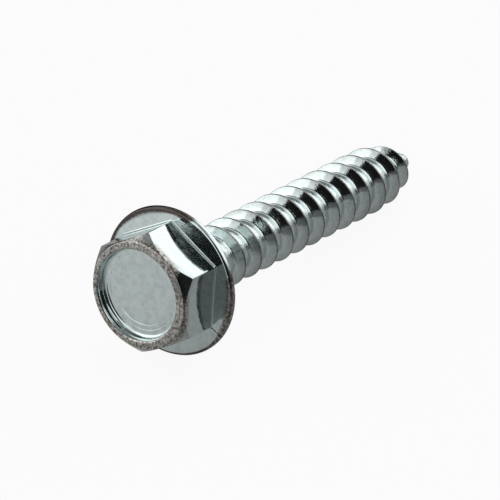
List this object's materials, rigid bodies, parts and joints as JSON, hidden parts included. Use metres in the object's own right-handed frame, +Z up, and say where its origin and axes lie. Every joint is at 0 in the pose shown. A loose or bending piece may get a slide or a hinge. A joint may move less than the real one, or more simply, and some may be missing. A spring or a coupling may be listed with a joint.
{
  "type": "hex washer head sheet metal screw",
  "caption": "Sheet metal screw with an indented hex washer head, a coarse right-hand thread that runs up to the washer and a blunt gimlet point, in bright zinc-plated steel.",
  "frame": {"origin": "on the surface that the screw lies on, under the middle of its bounding box", "axes": "+X along the lying screw from its head to its point, seen from above; +Z up"},
  "size_m": [0.0438, 0.0146, 0.0146],
  "materials": {
    "zinc_steel": "bright zinc plate, glossy, with fine grain and worn edges on the rim"
  },
  "bodies": {
    "root": {"screw": "zinc_steel"}
  },
  "joints": []
}
